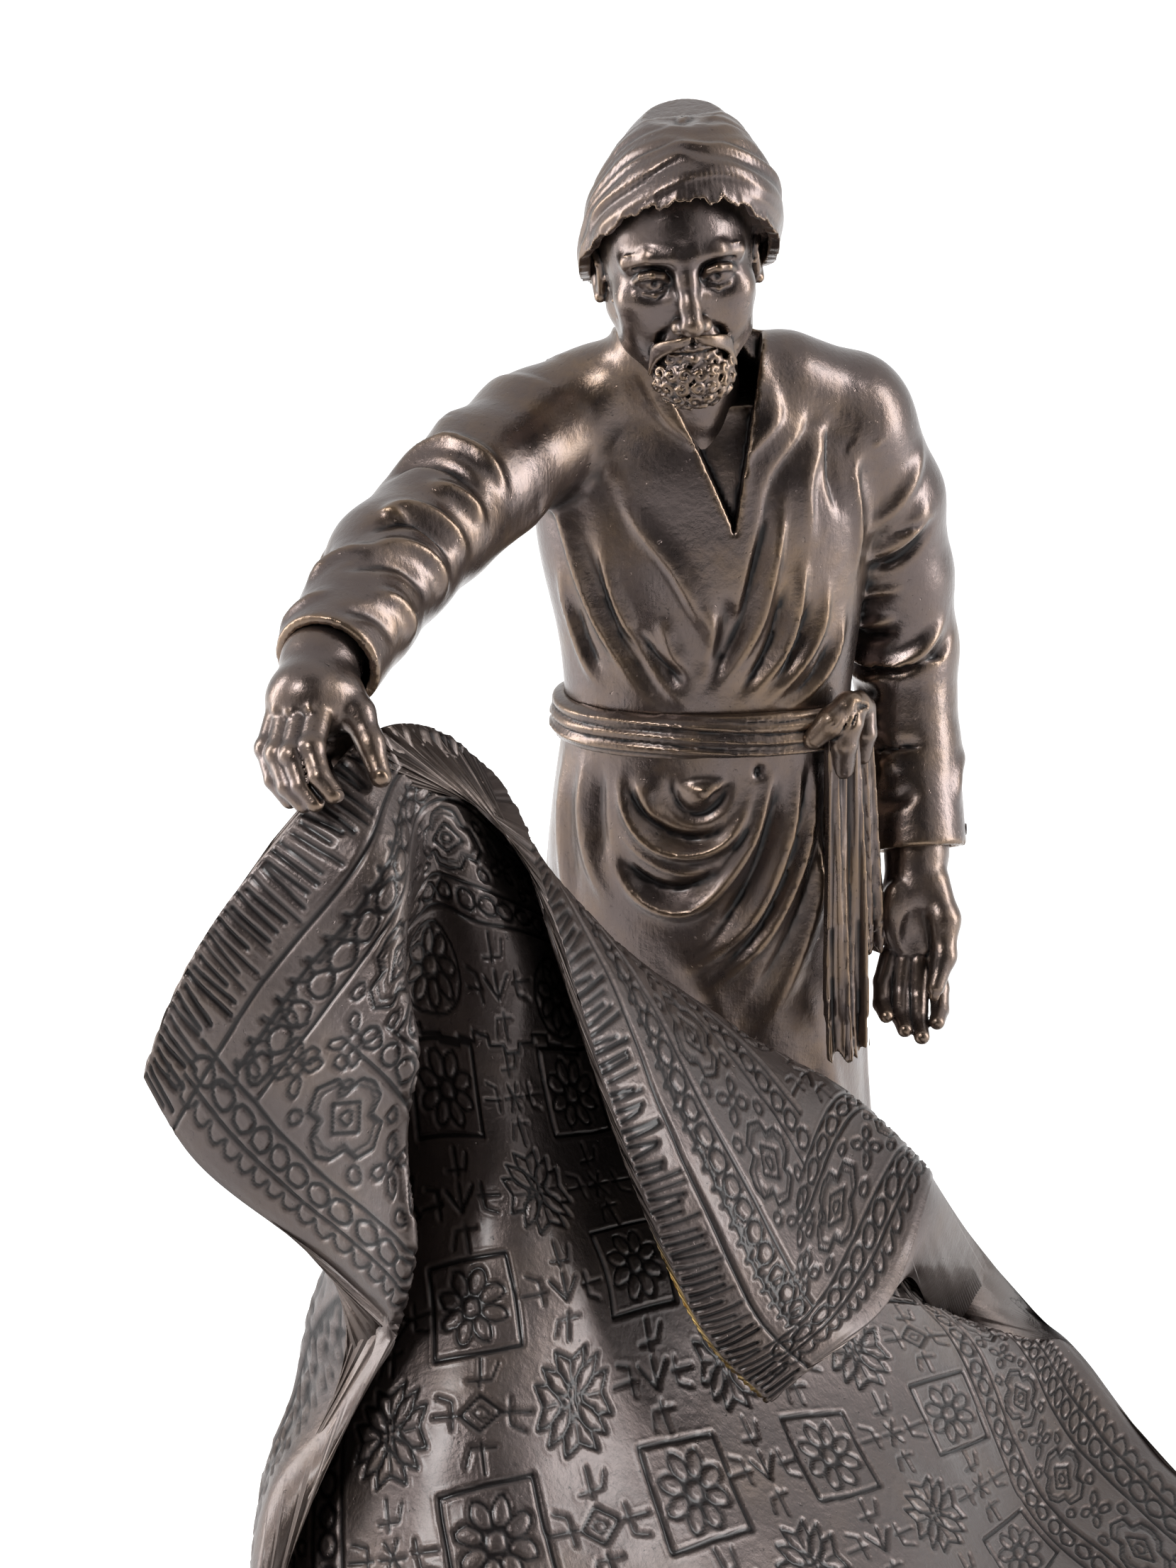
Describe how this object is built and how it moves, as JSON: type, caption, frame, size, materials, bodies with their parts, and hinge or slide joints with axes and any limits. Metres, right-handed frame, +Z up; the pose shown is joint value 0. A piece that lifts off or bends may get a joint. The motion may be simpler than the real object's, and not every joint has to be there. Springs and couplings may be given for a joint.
{
  "type": "bronze statuette",
  "caption": "Patinated bronze statuette of a bearded man in a cap and long sashed robe who lifts the fringed end of a large engraved carpet.",
  "frame": {"origin": "on the table surface, centre of the flat felt face under the figure's feet", "axes": "+X is the figure's left, which is the viewer's right from the front; +Y is the figure's back; +Z is up"},
  "size_m": [0.2326, 0.3043, 0.2957],
  "materials": {
    "bronze": "dark brown patinated cast bronze, satin, worn warmer on the high points",
    "carpet_bronze": "grey-brown patinated bronze with chased carpet pattern, satin",
    "raw_bronze": "unpatinated bronze of pins, screws and the joining ring",
    "steel": "plain turned steel",
    "felt": "dark green felt"
  },
  "bodies": {
    "root": {"felt_pad": "felt", "ground_plate": "bronze", "left_slipper": "bronze", "right_slipper": "bronze", "foot_studs": "steel", "foot_washers": "steel", "foot_nuts": "steel", "skirt": "bronze", "torso": "bronze", "waist_ring": "raw_bronze", "waist_screws": "raw_bronze", "sash_band": "bronze", "sash_knot": "bronze", "sash_tail_long": "bronze", "sash_tail_short": "bronze", "head": "bronze", "neck_pin": "raw_bronze", "cap": "bronze", "right_sleeve": "bronze", "left_sleeve": "bronze", "right_shoulder_pin": "raw_bronze", "left_shoulder_pin": "raw_bronze", "right_hand": "bronze", "left_hand": "bronze", "right_wrist_pin": "raw_bronze", "left_wrist_pin": "raw_bronze", "grip_pin": "raw_bronze", "carpet": "carpet_bronze"}
  },
  "joints": []
}
